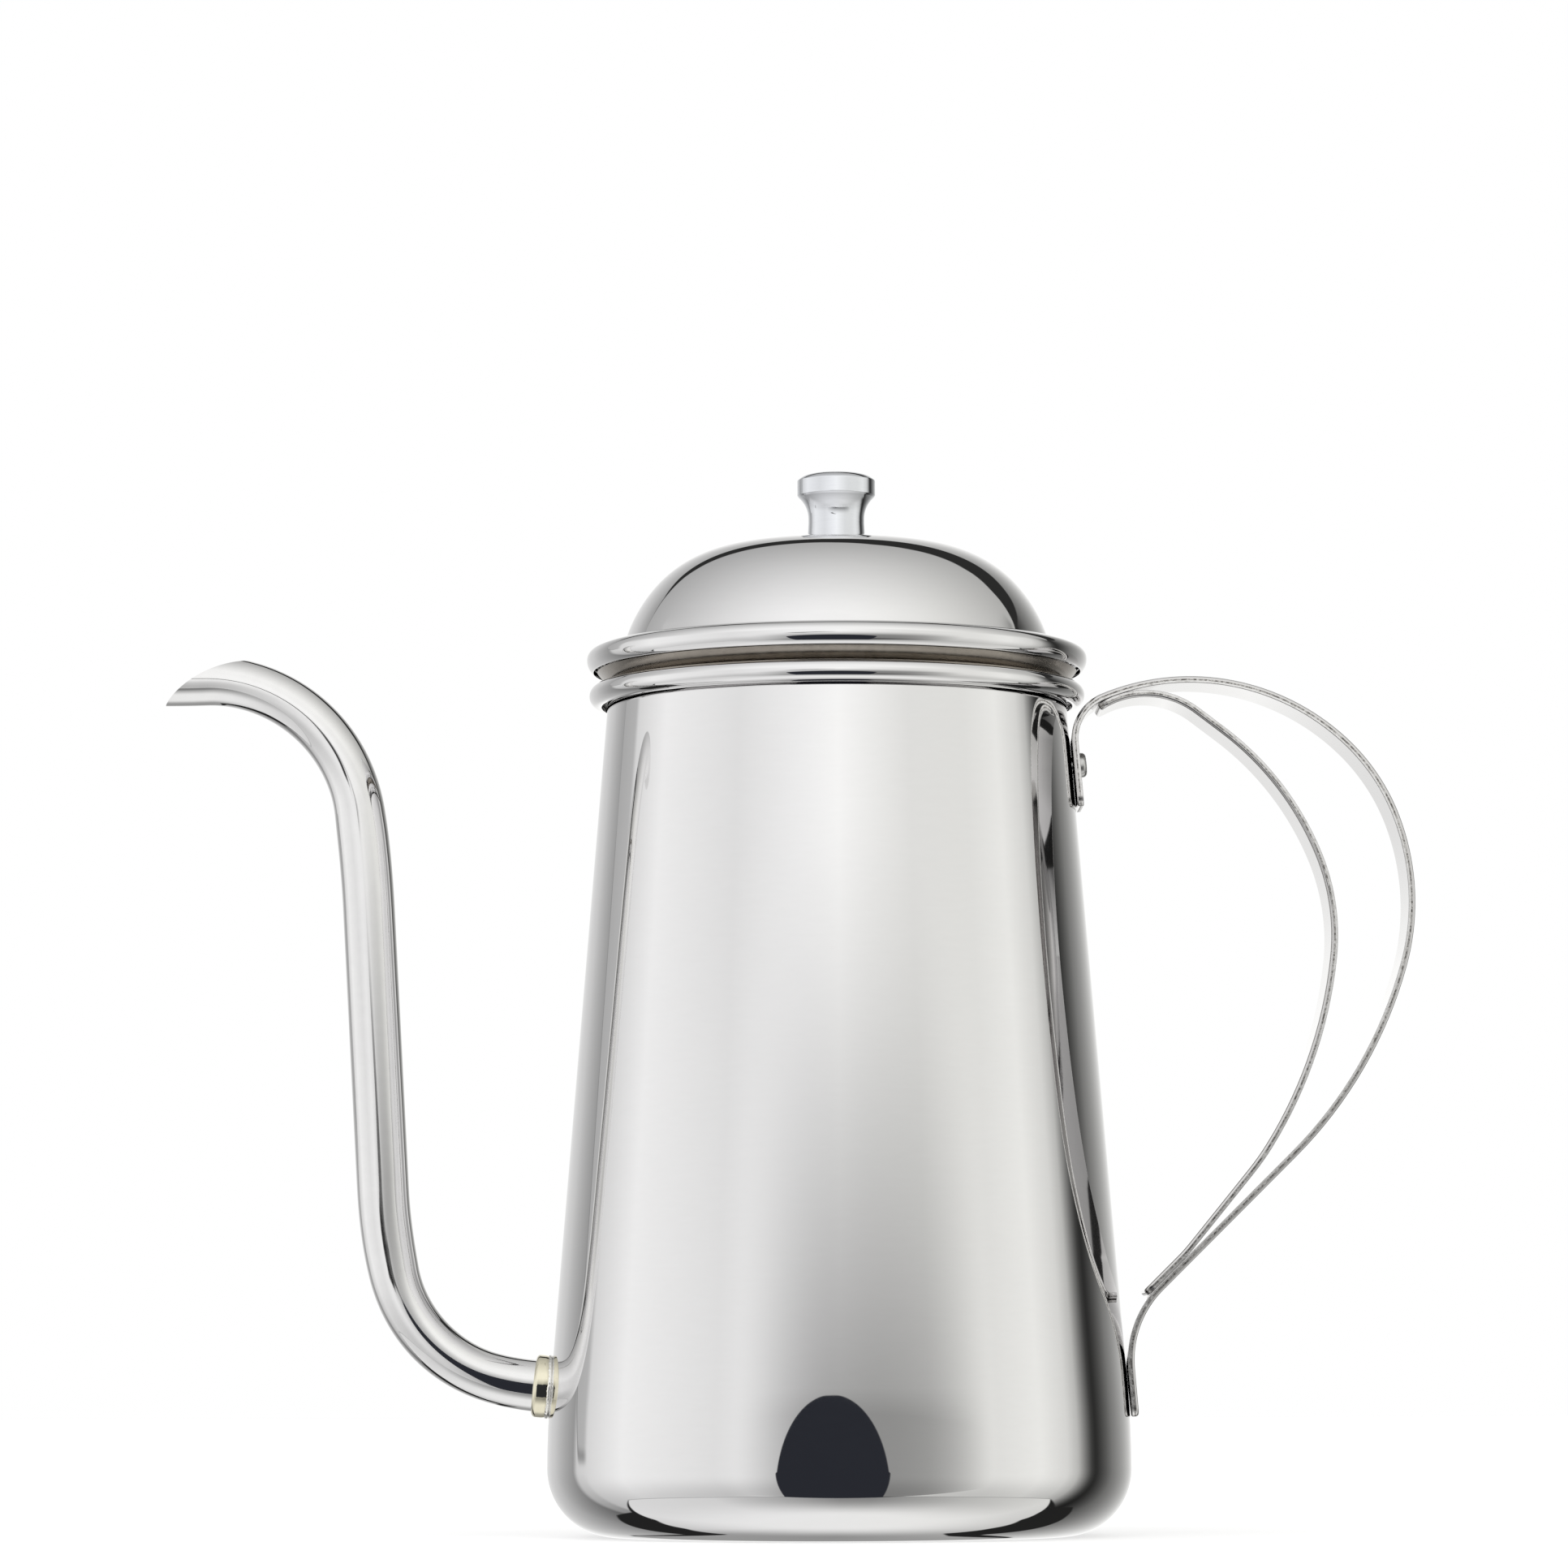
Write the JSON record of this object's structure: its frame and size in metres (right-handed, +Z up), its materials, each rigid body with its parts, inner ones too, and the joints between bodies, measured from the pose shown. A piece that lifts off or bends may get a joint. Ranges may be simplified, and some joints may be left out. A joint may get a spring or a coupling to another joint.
{
  "type": "gooseneck kettle",
  "caption": "Slim conical pour-over kettle with a gooseneck tube spout, strap loop handle and lift-off domed lid with a turned knob.",
  "frame": {"origin": "centre of the base, on the plane that the kettle stands on", "axes": "+Z up along the body's axis, -X towards the spout, +X towards the handle, +Y to the left of a person looking from the handle to the spout"},
  "size_m": [0.2222, 0.1032, 0.1893],
  "materials": {
    "polished_steel": "mirror-polished stainless steel",
    "inner_steel": "plain stainless steel fastener",
    "aluminium": "fine-turned satin aluminium",
    "brass": "polished pale brass",
    "solder": "smooth silver solder"
  },
  "bodies": {
    "kettle": {"body_wall": "polished_steel", "base_pan": "polished_steel", "spout_collar": "brass", "spout_solder": "solder", "spout_tube": "polished_steel", "handle_outer_strap": "polished_steel", "handle_inner_strap": "polished_steel", "handle_rivet": "polished_steel", "rivet_washer": "inner_steel"},
    "lid": {"lid_dome": "polished_steel", "lid_collar": "polished_steel", "lid_knob": "aluminium", "knob_washer": "inner_steel", "knob_screw": "inner_steel"}
  },
  "joints": [
    {"name": "lid_lift", "type": "slide", "parent": "kettle", "child": "lid", "axis": [0, 0, 1], "range_m": [0, 0.06]}
  ]
}
